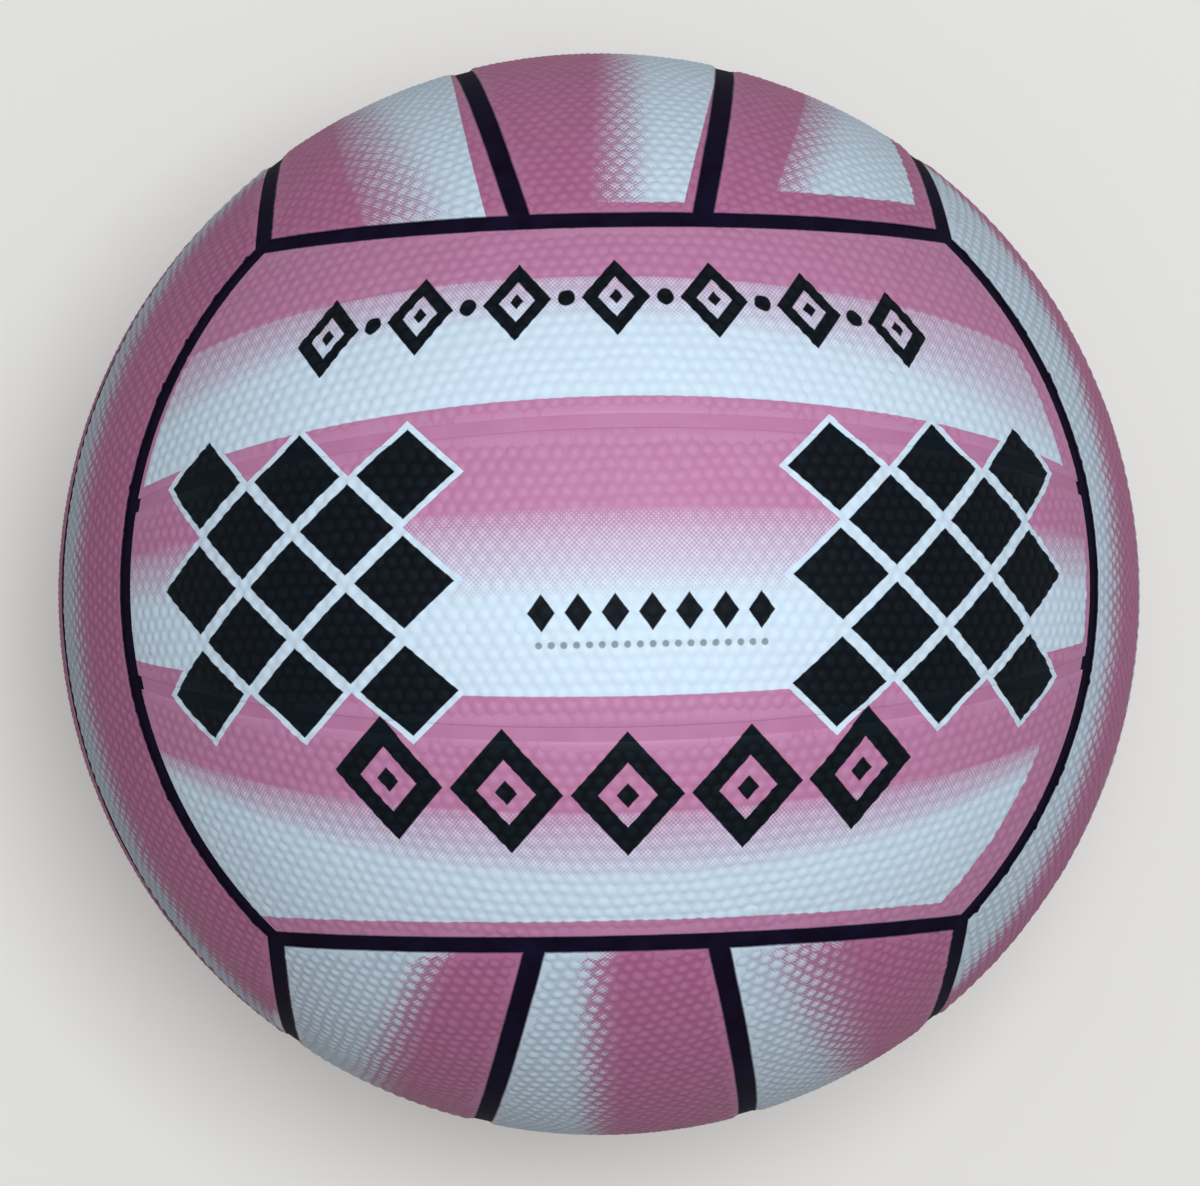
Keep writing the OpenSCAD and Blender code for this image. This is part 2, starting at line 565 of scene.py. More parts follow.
    def round_shoulder(self, piece: bpy.types.Object) -> None:
        """Turns the sheet's rim down in a rounded lip and a flat wall under it.

        Args:
            piece: The cut sheet.
        """
        choose(piece)
        bpy.ops.object.mode_set(mode="EDIT")
        bpy.ops.mesh.select_mode(type="EDGE")
        bpy.ops.mesh.select_all(action="DESELECT")
        bpy.ops.mesh.select_non_manifold(
            extend=False,
            use_wire=False,
            use_boundary=True,
            use_multi_face=False,
            use_non_contiguous=False,
            use_verts=False,
        )
        low_r = self.cover.floor_r + self.cover.lip_lift
        stops: list[tuple[float | None, float]] = []
        for turn in self.shoulder_steps:
            drop = (self.base_r - low_r) * (1 - math.cos(math.radians(turn)))
            stops.append((math.sin(math.radians(turn)), self.base_r - drop))
        stops += [(None, low_r), (None, self.cover.inner_r)]
        before = 0.0
        for share, radius in stops:
            bpy.ops.mesh.extrude_edges_move()
            mesh = bmesh.from_edit_mesh(piece.data)
            for corner in [v for v in mesh.verts if v.select]:
                self.settle(corner, before, share, radius)
            bmesh.update_edit_mesh(piece.data)
            before = share
        bpy.ops.object.mode_set(mode="OBJECT")

    def settle(
        self,
        corner: bmesh.types.BMVert,
        before: float | None,
        share: float | None,
        radius: float,
    ) -> None:
        """Moves a rim point to its next place on the rounded edge or the wall.

        Args:
            corner: The point.
            before: Share of the rounding that it has passed, or None on the wall.
            share: Share that it goes to, or None for the wall.
            radius: The radius that it goes to.
        """
        point = np.array(corner.co)
        met = [w for w in self.walls if abs(point @ w.axis - w.edge(before)) < self.meets]
        if not met:
            LOG.warning("a rim point meets no wall")
            return
        corner.co = on_walls(point, met, [w.edge(share) for w in met], radius)

    def close_back(self, piece: bpy.types.Object) -> None:
        """Closes the panel's inner side with a sheet of triangles on its inner radius.

        Args:
            piece: The panel, still open at its back.
        """
        mesh = bmesh.new()
        mesh.from_mesh(piece.data)
        loop = self.rim_of(mesh)
        rim = [self.flattened(corner.co) for corner in loop]
        inside = self.back_points(np.array(rim))
        spots = [Vector(spot) for spot in rim + inside]
        order = list(range(len(loop)))
        places, _, triangles, sources, _, _ = delaunay_2d_cdt(spots, [], [order], 1, self.slack)
        corners = []
        for place, source in zip(places, sources):
            if source and source[0] < len(loop):
                corners.append(loop[source[0]])
            else:
                corners.append(mesh.verts.new(self.back_point(place)))
        for triangle in triangles:
            mesh.faces.new([corners[i] for i in triangle])
        mesh.to_mesh(piece.data)
        mesh.free()

    def rim_of(self, mesh: bmesh.types.BMesh) -> list[bmesh.types.BMVert]:
        """Follows the open rim of a panel once round.

        Args:
            mesh: The panel's mesh.

        Returns:
            The rim's points in order.
        """
        rim = [edge for edge in mesh.edges if edge.is_boundary]
        loop = [rim[0].verts[0], rim[0].verts[1]]
        left = set(rim[1:])
        while True:
            edge = next((found for found in loop[-1].link_edges if found in left), None)
            if edge is None:
                break
            left.discard(edge)
            loop.append(edge.other_vert(loop[-1]))
        return loop[:-1] if loop[-1] is loop[0] else loop

    def flattened(self, point: Vector) -> tuple[float, float]:
        """Finds where a point lies on the flat strip.

        Args:
            point: The point, in the face's own axes.

        Returns:
            Its places along and across, as angles in radians.
        """
        lean_cos, lean_sin = math.cos(self.lean), math.sin(self.lean)
        y = point.y * lean_cos - point.z * lean_sin
        z = point.z * lean_cos + point.y * lean_sin
        return math.atan2(point.x, z), math.asin(y / point.length)

    def back_point(self, spot: Vector) -> Vector:
        """Lays a place of the flat strip on the panel's inner radius.

        Args:
            spot: The places along and across, as angles in radians.

        Returns:
            The point.
        """
        flat = np.array([[spot[0], spot[1]]]) * self.cover.outer_r
        point = self.on_ball(flat, np.zeros(1))[0]
        return Vector(point / np.linalg.norm(point) * self.cover.inner_r)

    def back_points(self, rim: np.ndarray) -> list[tuple[float, float]]:
        """Spreads points over the panel's inner side, clear of its rim.

        Args:
            rim: Places of the rim, along and across.

        Returns:
            The places of the points.
        """
        step = self.back_step / self.cover.outer_r
        margin = self.back_step / 3
        low, high = rim.min(0), rim.max(0)
        found = []
        for x in np.arange(low[0] + step, high[0], step):
            for y in np.arange(low[1] + step, high[1], step):
                point = np.array(self.back_point(Vector((x, y))))
                clear = [w.place - point @ w.axis > margin for w in self.walls]
                if all(clear):
                    found.append((x, y))
        return found

    def build(self) -> bpy.types.Object:
        """Models the whole panel.

        Returns:
            The closed panel, in its face's own axes.
        """
        piece, cell_points = self.sheet()
        self.bend(piece, cell_points)
        self.trim(piece)
        self.round_shoulder(piece)
        self.close_back(piece)
        choose(piece)
        bpy.ops.object.mode_set(mode="EDIT")
        bpy.ops.mesh.select_mode(type="VERT")
        bpy.ops.mesh.select_all(action="SELECT")
        bpy.ops.mesh.normals_make_consistent(inside=False)
        bpy.ops.object.mode_set(mode="OBJECT")
        return piece


class Signal:
    """A number that flows through a node tree, so that patterns read as sums.

    Args:
        tree: The node tree.
        socket: The socket that gives the number.
    """

    def __init__(self, tree: bpy.types.NodeTree, socket: bpy.types.NodeSocket) -> None:
        """Keeps the tree and the socket."""
        self.tree = tree
        self.socket = socket

    def _with(self, operation: str, *others: "Signal | float", clamp: bool = False) -> "Signal":
        """Adds a math node after this number.

        Args:
            operation: The node's operation.
            others: Its other inputs.
            clamp: Whether its result stays from 0 to 1.

        Returns:
            The result.
        """
        node = self.tree.nodes.new("ShaderNodeMath")
        node.operation = operation
        node.use_clamp = clamp
        self.tree.links.new(self.socket, node.inputs[0])
        for place, other in enumerate(others, 1):
            if isinstance(other, Signal):
                self.tree.links.new(other.socket, node.inputs[place])
            else:
                node.inputs[place].default_value = other
        return Signal(self.tree, node.outputs[0])

    def __add__(self, other: "Signal | float") -> "Signal":
        """The sum."""
        return self._with("ADD", other)

    def __sub__(self, other: "Signal | float") -> "Signal":
        """The difference."""
        return self._with("SUBTRACT", other)

    def __mul__(self, other: "Signal | float") -> "Signal":
        """The product."""
        return self._with("MULTIPLY", other)

    def size(self) -> "Signal":
        """The number without its sign."""
        return self._with("ABSOLUTE")

    def rounded(self) -> "Signal":
        """The nearest whole number."""
        return self._with("ROUND")

    def cosine(self) -> "Signal":
        """The cosine."""
        return self._with("COSINE")

    def arcsine(self) -> "Signal":
        """The angle with this sine, in radians."""
        return self._with("ARCSINE")

    def angle(self, other: "Signal") -> "Signal":
        """The angle with this number across from it and the other beside it, in radians."""
        return self._with("ARCTAN2", other)

    def over(self, other: "Signal | float") -> "Signal":
        """The quotient."""
        return self._with("DIVIDE", other)

    def clamped(self) -> "Signal":
        """The number, kept from 0 to 1."""
        return self._with("ADD", 0.0, clamp=True)

    def opposite(self) -> "Signal":
        """One less the number."""
        return self._with("MULTIPLY_ADD", -1.0, 1.0)

    def least(self, other: "Signal | float") -> "Signal":
        """The smaller of two numbers."""
        return self._with("MINIMUM", other)

    def most(self, other: "Signal | float") -> "Signal":
        """The larger of two numbers."""
        return self._with("MAXIMUM", other)

    def power(self, exponent: float) -> "Signal":
        """The number raised to a power."""
        return self._with("POWER", exponent)

    def length(self, other: "Signal") -> "Signal":
        """The length of a line with these two sides."""
        return (self * self + other * other)._with("SQRT")

    def above(self, edge: "Signal | float", blur: float) -> "Signal":
        """1 above an edge and 0 below it, with a ramp of twice the blur between."""
        return (self - edge)._with("MULTIPLY_ADD", 0.5 / blur, 0.5, clamp=True)

    def below(self, edge: "Signal | float", blur: float) -> "Signal":
        """1 below an edge and 0 above it, with a ramp of twice the blur between."""
        return (self - edge)._with("MULTIPLY_ADD", -0.5 / blur, 0.5, clamp=True)


def seen_rays(tree: bpy.types.NodeTree) -> Signal:
    """Tells the rays that show a background from those that light the object.

    Args:
        tree: The node tree.

    Returns:
        1 for rays from the camera or a mirroring or clear surface, and 0 for other rays.
    """
    path = tree.nodes.new("ShaderNodeLightPath")
    kinds = ("Is Camera Ray", "Is Glossy Ray", "Is Transmission Ray")
    camera, glossy, clear = (Signal(tree, path.outputs[kind]) for kind in kinds)
    return camera.most(glossy).most(clear)


class Finish:
    """A material under construction.

    Args:
        name: Its name.
    """

    def __init__(self, name: str) -> None:
        """Starts a new material.

        Args:
            name: Its name.
        """
        self.material = bpy.data.materials.new(name)
        self.material.use_nodes = True
        self.tree = self.material.node_tree
        self.shader = self.tree.nodes["Principled BSDF"]

    def numbers(self, attribute: str) -> tuple[Signal, Signal, Signal]:
        """Reads three numbers that are stored on the piece's points.

        Args:
            attribute: The name that they are stored under.

        Returns:
            The three numbers.
        """
        node = self.tree.nodes.new("ShaderNodeAttribute")
        node.attribute_name = attribute
        split = self.tree.nodes.new("ShaderNodeSeparateXYZ")
        self.tree.links.new(node.outputs["Vector"], split.inputs[0])
        return tuple(Signal(self.tree, out) for out in split.outputs)

    def number(self, attribute: str) -> Signal:
        """Reads one number that is stored on the piece's points.

        Args:
            attribute: The name that it is stored under.

        Returns:
            The number.
        """
        node = self.tree.nodes.new("ShaderNodeAttribute")
        node.attribute_name = attribute
        return Signal(self.tree, node.outputs["Fac"])

    def place(self) -> tuple[Signal, Signal, Signal]:
        """Reads the place on the object.

        Returns:
            The object's own X, Y and Z, in metres.
        """
        node = self.tree.nodes.new("ShaderNodeTexCoord")
        split = self.tree.nodes.new("ShaderNodeSeparateXYZ")
        self.tree.links.new(node.outputs["Object"], split.inputs[0])
        return tuple(Signal(self.tree, out) for out in split.outputs)

    def noise(self, grain: float, detail: float = 2.0) -> Signal:
        """Adds noise on the object's own coordinates.

        Args:
            grain: Size of its spots, in metres.
            detail: How many finer layers it has.

        Returns:
            The noise, about 0.5 on average.
        """
        place = self.tree.nodes.new("ShaderNodeTexCoord")
        node = self.tree.nodes.new("ShaderNodeTexNoise")
        node.inputs["Scale"].default_value = 1 / grain
        node.inputs["Detail"].default_value = detail
        self.tree.links.new(place.outputs["Object"], node.inputs["Vector"])
        return Signal(self.tree, node.outputs["Fac"])

    def mix(self, share: Signal, under: Paint, over: Paint) -> bpy.types.NodeSocket:
        """Lays one colour over another.

        Args:
            share: How much of the upper colour shows.
            under: The lower colour.
            over: The upper colour.

        Returns:
            The socket of the mixed colour.
        """
        # A colour mix takes its two colours at sockets 6 and 7 and gives the result at socket 2
        node = self.tree.nodes.new("ShaderNodeMix")
        node.data_type = "RGBA"
        self.tree.links.new(share.socket, node.inputs["Factor"])
        for socket, colour in ((node.inputs[6], under), (node.inputs[7], over)):
            if isinstance(colour, tuple):
                socket.default_value = (*colour, 1.0)
            else:
                self.tree.links.new(colour, socket)
        return node.outputs[2]

    def bump(self, height: Signal, depth: float) -> None:
        """Gives the shader a fine relief.

        Args:
            height: The relief, from 0 to 1.
            depth: Its depth, in metres.
        """
        node = self.tree.nodes.new("ShaderNodeBump")
        node.inputs["Strength"].default_value = 1.0
        node.inputs["Distance"].default_value = depth
        self.tree.links.new(height.socket, node.inputs["Height"])
        self.tree.links.new(node.outputs["Normal"], self.shader.inputs["Normal"])

    def colour(self, socket: bpy.types.NodeSocket) -> None:
        """Sets the shader's colour."""
        self.tree.links.new(socket, self.shader.inputs["Base Color"])

    def roughness(self, value: Signal) -> None:
        """Sets the shader's roughness."""
        self.tree.links.new(value.socket, self.shader.inputs["Roughness"])

    def specular(self, value: Signal) -> None:
        """Sets how strongly the surface mirrors light, where that differs from place to place.

        Args:
            value: The strength.
        """
        socket = self.shader.inputs["Specular IOR Level"]
        socket.default_value = COVER_SHINE
        self.tree.links.new(value.socket, socket)


@dataclass(frozen=True)
class Ends:
    """A number that changes smoothly along a strip.

    Args:
        low: The number at the strip's low end.
        middle: The number at its middle.
        high: The number at its high end.
    """

    low: float
    middle: float
    high: float

    def along(self, share: Signal) -> Signal:
        """The number at a place along the strip.

        Args:
            share: The place, from -1 at the low end to 1 at the high end.

        Returns:
            The number there.
        """
        lean = (self.high - self.low) / 2
        curve = (self.high + self.low) / 2 - self.middle
        return (share * curve + lean) * share + self.middle


@dataclass(frozen=True)
class WhiteBand:
    """The white print of one strip.

    Args:
        fade: Tilt of the middle of the dotted fade into pink, in degrees.
        fade_w: Width of the fade, in degrees.
        way: 1 if the white lies on the plus side of the fade, or -1.
        edge: Tilt of the band's sharp edge, or None if it runs to the seam.
        ends: Pink borders beside the end seams, low and high, in millimetres.
        side: Pink border beside the seam to the next face, in millimetres.
        jump: How much white there is where the fade begins on the pink.
    """

    fade: Ends
    fade_w: Ends
    way: int
    edge: Ends | None = None
    ends: tuple[float, float] = (0.0, 0.0)
    side: float = 0.0
    jump: float = 0.0


def same(value: float) -> Ends:
    """The same number all along a strip."""
    return Ends(value, value, value)


PRINTS: dict[tuple[Face, Strip], WhiteBand] = {
    (Face.CROWN, Strip.PLUS): WhiteBand(
        Ends(28.4, 26.2, 24.0), Ends(11.3, 5.0, 16.4), -1, same(16.4), (1.6, 5.0), jump=0.3
    ),
    (Face.CROWN, Strip.MIDDLE): WhiteBand(same(1.9), same(8.6), -1, same(-10.6), (0.0, 2.2), jump=0.1),
    (Face.CROWN, Strip.MINUS): WhiteBand(
        Ends(-25.3, -25.2, -24.9), Ends(3.0, 7.5, 3.0), -1, None, (0.3, 9.0), 3.6, jump=0.15
    ),
    (Face.BASE, Strip.PLUS): WhiteBand(
        Ends(27.0, 26.4, 25.0), Ends(11.0, 5.4, 14.0), -1, same(16.4), (3.0, 3.0), jump=0.3
    ),
    (Face.BASE, Strip.MIDDLE): WhiteBand(same(1.8), same(8.4), -1, same(-10.8), (2.4, 1.0), jump=0.1),
    (Face.BASE, Strip.MINUS): WhiteBand(
        Ends(-25.2, -25.0, -25.2), Ends(3.0, 7.4, 3.0), -1, None, (5.0, 5.0), 3.6, jump=0.15
    ),
    (Face.NORTH, Strip.PLUS): WhiteBand(
        same(26.5), same(6.5), 1, None, (6.0, 6.0), 4.4, jump=0.3
    ),
    (Face.NORTH, Strip.MIDDLE): WhiteBand(
        Ends(2.2, 3.4, 2.2), Ends(11.0, 5.4, 11.0), 1, Ends(10.9, 13.7, 10.9), (2.4, 2.4), jump=0.12
    ),
    (Face.NORTH, Strip.MINUS): WhiteBand(
        Ends(-27.4, -25.3, -27.4), Ends(15.0, 6.3, 15.0), 1, Ends(-18.9, -15.2, -18.9), jump=0.2
    ),
    (Face.SOUTH, Strip.PLUS): WhiteBand(
        Ends(23.9, 25.1, 23.9), Ends(18.0, 6.5, 18.0), -1, jump=0.1
    ),
    (Face.SOUTH, Strip.MIDDLE): WhiteBand(Ends(-5.4, -2.5, -5.4), Ends(8.0, 5.5, 8.0), -1, jump=0.1),
    (Face.SOUTH, Strip.MINUS): WhiteBand(
        Ends(-28.4, -27.0, -28.4), Ends(7.0, 8.0, 7.0), -1, jump=0.15
    ),
    (Face.EAST, Strip.PLUS): WhiteBand(Ends(32.3, 29.0, 26.4), Ends(9.5, 8.8, 8.0), 1),
    (Face.EAST, Strip.MIDDLE): WhiteBand(
        Ends(3.0, 3.2, 3.0), Ends(10.6, 5.2, 10.6), 1, Ends(11.2, 13.4, 11.2), (2.0, 2.0), jump=0.12
    ),
    (Face.EAST, Strip.MINUS): WhiteBand(
        Ends(-27.5, -25.3, -27.5), Ends(12.0, 5.5, 12.0), 1, Ends(-17.8, -15.4, -17.8), jump=0.2
    ),
    (Face.WEST, Strip.PLUS): WhiteBand(Ends(22.0, 21.7, 22.8), Ends(15.0, 8.6, 14.0), -1, jump=0.2),
    (Face.WEST, Strip.MIDDLE): WhiteBand(Ends(-4.7, -1.8, -4.7), Ends(7.5, 4.0, 7.5), -1, jump=0.1),
    (Face.WEST, Strip.MINUS): WhiteBand(Ends(-29.1, -26.7, -29.1), Ends(3.5, 8.5, 3.5), -1, jump=0.2),
}


@dataclass(frozen=True)
class HarlequinPrint:
    """The black and white lozenges printed on the crown face, in millimetres.

    Args:
        field_w: Width of a lozenge in the two side fields.
        field_h: Height of one.
        field_at: Distance from the ball's middle to the middle of a field.
        columns: Columns of lozenges on each side of a field's middle one.
        rows: Rows of lozenges above and below it.
        line_share: White left round each lozenge, as a share of its size.
        ring_share: Inner edge of a hollow lozenge, as a share of its size.
        core_share: Size of the solid one in it, as a share.
        chain_at: Height of the chain of lozenges and beads over the crown's middle.
        chain_droop: How fast the chain's ends fall, per millimetre squared.
        chain_step: Distance from one of its lozenges to the next.
        chain_size: Half width and half height of its lozenges.
        chain_count: Its lozenges on each side of the middle one.
        bead_r: Radius of its beads.
        row_at: Height of the row of large hollow lozenges.
        row_rise: How fast the row's ends rise, per millimetre squared.
        row_step: Distance from one of them to the next.
        row_size: Their half width and half height.
        row_count: Their number on each side of the middle one.
        small_at: Height of the row of small lozenges.
        small_middle: Place of its middle along the crown.
        small_step: Distance from one of them to the next.
        small_size: Their half width and half height.
        small_count: Their number on each side of the middle one.
        dots_at: Height of the line of grey dots.
        dots_step: Distance from one of them to the next.
        dots_r: Their radius.
        dots_count: Their number on each side of the middle one.
        dots_shade: How dark they are, from 0 to 1.
        blur: Half width of an inked edge's blur.
        step_blur: Half width of the blur where a row of figures ends, in steps.
    """

    field_w: float = 22.0
    field_h: float = 19.0
    field_at: float = 61.0
    columns: int = 2
    rows: int = 2
    line_share: float = 0.075
    ring_share: float = 0.52
    core_share: float = 0.20
    chain_at: float = 51.5
    chain_droop: float = 0.0017
    chain_step: float = 19.5
    chain_size: tuple[float, float] = (6.8, 8.0)
    chain_count: int = 3
    bead_r: float = 1.7
    row_at: float = -38.5
    row_rise: float = 0.0018
    row_step: float = 22.5
    row_size: tuple[float, float] = (10.6, 11.6)
    row_count: int = 2
    small_at: float = -6.0
    small_middle: float = 4.6
    small_step: float = 6.4
    small_size: tuple[float, float] = (2.4, 3.3)
    small_count: int = 3
    dots_at: float = -11.6
    dots_step: float = 2.2
    dots_r: float = 0.62
    dots_count: int = 9
    dots_shade: float = 0.6
    blur: float = 0.12
    step_blur: float = 0.01

    def fields(self, along: Signal, across: Signal) -> tuple[Signal, Signal]:
        """Draws the two side fields.

        Args:
            along: Distance along the crown, from its middle.
            across: Distance across it.

        Returns:
            The black shares and the white ones.
        """
        aside = (along.size() - self.field_at) * (1 / self.field_w)
        upward = across * (1 / self.field_h)
        rising, falling = aside + upward, aside - upward
        row, column = rising.rounded(), falling.rounded()
        out = (rising - row).size().most((falling - column).size())
        in_field = (row + column).size().below(self.columns + 0.5, self.step_blur)
        in_field = in_field * (row - column).size().below(self.rows + 0.5, self.step_blur)
        black = out.below(0.5 - self.line_share, self.blur / self.field_h)
        return black * in_field, in_field

    def string(self, along: Signal, step: float, count: int) -> tuple[Signal, Signal]:
        """The distance along from the nearest of a row's figures, and 1 within the row."""
        nearest = (along * (1 / step)).rounded()
        return along - nearest * step, nearest.size().below(count + 0.5, self.step_blur)

    def lozenge(self, along: Signal, across: Signal, half: tuple[float, float]) -> Signal:
        """Distance from a lozenge's middle, 1 on its outline."""
        return along.size() * (1 / half[0]) + across.size() * (1 / half[1])

    def hollow_ones(
        self,
        along: Signal,
        level: Signal,
        step: float,
        count: int,
        half: tuple[float, float],
    ) -> Signal:
        """Draws a row of bold lozenge outlines, each round a small solid one.

        Args:
            along: Distance along the row, from its middle.
            level: Distance above the row.
            step: Distance from one figure to the next.
            count: Figures on each side of the middle one.
            half: A lozenge's half width and half height.

        Returns:
            The black share.
        """
        place, within = self.string(along, step, count)
        out = self.lozenge(place, level, half)
        blur = self.blur / half[0]
        band = out.below(1.0, blur) * out.above(self.ring_share, blur)
        return band.most(out.below(self.core_share, blur)) * within

    def chain(self, along: Signal, across: Signal) -> Signal:
        """Draws the drooping chain of lozenges and beads.

        Args:
            along: Distance along the crown, from its middle.
            across: Distance across it.

        Returns:
            The black share.
        """
        level = across + along * along * self.chain_droop - self.chain_at
        links = self.hollow_ones(along, level, self.chain_step, self.chain_count, self.chain_size)
        place, _ = self.string(along, self.chain_step, self.chain_count)
        between = place.size() - self.chain_step / 2
        bead = between.length(level).below(self.bead_r, self.blur)
        inner = along.size().below(self.chain_step * self.chain_count, self.step_blur)
        return links.most(bead * inner)

    def small_row(self, along: Signal, across: Signal) -> Signal:
        """Draws the small lozenges and the grey dots under them.

        Args:
            along: Distance along the crown, from its middle.
            across: Distance across it.

        Returns:
            The black share.
        """
        aside = along - self.small_middle
        place, within = self.string(aside, self.small_step, self.small_count)
        out = self.lozenge(place, across - self.small_at, self.small_size)
        small = out.below(1.0, self.blur / self.small_size[0]) * within
        place, within = self.string(aside, self.dots_step, self.dots_count)
        dots = place.length(across - self.dots_at).below(self.dots_r, self.blur)
        return small.most(dots * within * self.dots_shade)

    def draw(self, along: Signal, across: Signal) -> tuple[Signal, Signal]:
        """Draws the whole print.

        Args:
            along: Distance along the crown, from its middle.
            across: Distance across it.

        Returns:
            The black shares and the white ones.
        """
        black, white = self.fields(along, across)
        level = across - along * along * self.row_rise - self.row_at
        row = self.hollow_ones(along, level, self.row_step, self.row_count, self.row_size)
        black = black.most(self.chain(along, across)).most(row)
        return black.most(self.small_row(along, across)), white


@dataclass(frozen=True)
class CoverFinish:
    """Rubber, inks and seam paint of the cover. Lengths are in millimetres.

    Args:
        outer_r: Radius of the ball.
        pink: The crown's and the base's pink rubber: the side faces' pink painted lighter as a sheen.
        pink_shade_and_patch: The same in painted shade between the pebbles; in the channels, their
            patches.
        side_pink: The side faces' pink rubber, without the crown's painted sheen.
        side_pink_in_pebble_shade: The same in painted shade between the pebbles.
        white: The white ink.
        shaded_white: The same between the pebbles.
        ink: The black ink.
        ink_sheen_and_wear: The same where it is worn, and on the pebbles' tops a painted sheen.
        navy_tint_and_glint: The seam paint's thin edge and patches: spilled paint and tint, with
            painted blue glints.
        paint: The seam paint.
        screen: Distance between the rows of printed dots.
        dot_blur: Half width of a dot's soft edge, on the fade's scale from 0 to 1.
        crown_crisp: How clearly the dots stand out on the crown and the base, from 0 to 1.
        side_crisp: How clearly they stand out on the side faces.
        bunching: How fast missed ink undoes the bunching of the dots' tones.
        least_fade: Least width of a fade, in degrees.
        start_blur: Half width of the blur where a fade begins, as a share of its width.
        edge_blur: Half width of the blur of a band's sharp edge, in degrees.
        edge_waver: How far that edge wavers, in degrees.
        border_blur: Half width of the blur at a pink border.
        border_waver: How far a border wavers.
        crown_reach: How far the seam paint reaches onto the crown and the base, from the
            middle of their seams.
        outer_reach: How far it reaches onto the side faces from there.
        side_reach: How far it reaches from the middle of a seam between two side faces.
        inner_reach: How far it reaches from the middle of a seam within a side face.
        paint_sway: How far the paint's edge sways over long stretches.
        sway_grain: Length of such a stretch.
        paint_fray: How far it frays over short ones.
        fray_grain: Length of those.
        corner_start: Cosine of the angle from a corner up to which the paint spreads.
        corner_blur: Half width of that limit's blur, as a cosine.
        corner_spread: How much further the paint reaches there.
        half_length: Distance from the middle of a strip to its ends.
        paint_at: How far out of its edge's mean line the paint is half thick.
        paint_blur: Half width of its edge's blur.
        navy_at: How far out the navy edge reaches.
        navy_blur: Half width of that edge's blur.
        navy_share: How dark the navy edge is, from 0 to 1.
        crown_pebble_shade: How deep the painted shade between the crown's pebbles turns the pink, then
            the white.
        clouds: How deep faint clouds turn the rubber's colour.
        cloud_grain: Size of a cloud.
        clear: Depth up to which the colour doesn't turn.
        waver: How far the black print's edges waver.
        waver_grain: Length of a waver of the printed edges.
        top_sheen_and_wear: How fast the pebbles' tops lighten the black ink, for wear and a painted
            sheen.
        matt_share: How much of the paint's dullness the black ink has.
        ink_shine: How strongly the ink in a smooth channel mirrors light.
        paint_shine: How strongly the seam paint mirrors light.
        rough: The rubber's least roughness.
        uneven: How much rougher it is in spots.
        relief: Depth of its fine relief.
        fine_grain: Size of the spots of that relief.
    """

    outer_r: float
    # The crown's pink is the side faces' pink painted lighter, as the lamp's sheen on the crown
    pink: Colour = (0.500, 0.212, 0.370)
    pink_shade_and_patch: Colour = (0.405, 0.130, 0.262)
    side_pink: Colour = (0.455, 0.160, 0.306)
    side_pink_in_pebble_shade: Colour = (0.365, 0.102, 0.222)
    white: Colour = (0.610, 0.725, 0.840)
    shaded_white: Colour = (0.400, 0.460, 0.550)
    ink: Colour = (0.0008, 0.002, 0.004)
    ink_sheen_and_wear: Colour = (0.005, 0.010, 0.015)
    navy_tint_and_glint: Colour = (0.009, 0.006, 0.025)
    paint: Colour = (0.005, 0.003, 0.008)
    screen: float = 0.86
    dot_blur: float = 0.15
    crown_crisp: float = 0.5
    side_crisp: float = 0.75
    bunching: float = 1.6
    least_fade: float = 0.6
    start_blur: float = 0.02
    edge_blur: float = 0.05
    edge_waver: float = 0.1
    border_blur: float = 0.12
    border_waver: float = 0.3
    crown_reach: float = 1.42
    outer_reach: float = 2.3
    side_reach: float = 2.0
    inner_reach: float = 1.92
    paint_sway: float = 0.2
    sway_grain: float = 9.0
    paint_fray: float = 0.1
    fray_grain: float = 1.3
    corner_start: float = 0.9988
    corner_blur: float = 0.0010
    corner_spread: float = 0.5
    half_length: float = 104.0
    paint_at: float = -0.08
    paint_blur: float = 0.10
    navy_at: float = 0.12
    navy_blur: float = 0.14
    navy_share: float = 0.8
    crown_pebble_shade: tuple[float, float] = (0.50, 0.42)
    clouds: float = 0.4
    cloud_grain: float = 6.0
    clear: float = 0.1
    waver: float = 0.15
    waver_grain: float = 1.6
    top_sheen_and_wear: float = 1.2
    matt_share: float = 0.85
    ink_shine: float = 0.04
    paint_shine: float = 0.015
    rough: float = 0.52
    uneven: float = 0.16
    relief: float = 0.02
    fine_grain: float = 0.45

    # Painted shade between a side face's pebbles: how deep it turns the pink, then the white
    PEBBLE_SHADE = {
        Face.NORTH: (0.75, 0.30),
        Face.SOUTH: (1.05, 0.65),
        Face.EAST: (1.05, 0.65),
        Face.WEST: (1.05, 1.60),
    }
    # How far the ink misses the places between a side face's pebbles, from 0 to 1, also as painted
    # shade
    MISSED_INK_AND_SHADE = {
        Face.NORTH: 0.30,
        Face.SOUTH: 0.45,
        Face.EAST: 0.45,
        Face.WEST: 0.60,
    }

    def screened(self, finish: Finish, cover: Signal, missed: float, crisp: float) -> Signal:
        """Breaks an even fade up into printed dots.

        Args:
            finish: The material.
            cover: The even fade, from 0 to 1.
            missed: How far the ink misses the places between the pebbles, from 0 to 1, also as painted
                shade.
            crisp: How clearly the dots stand out, from 0 to 1.

        Returns:
            The dotted fade.
        """
        along, across, _ = finish.numbers(PLACE)
        turns = 2 * math.pi / self.screen
        dots = (along * turns).cosine() * (across * turns).cosine() * 0.5 + 0.5
        hidden = dots * (1 - missed) + finish.number(PEBBLE).opposite() * missed
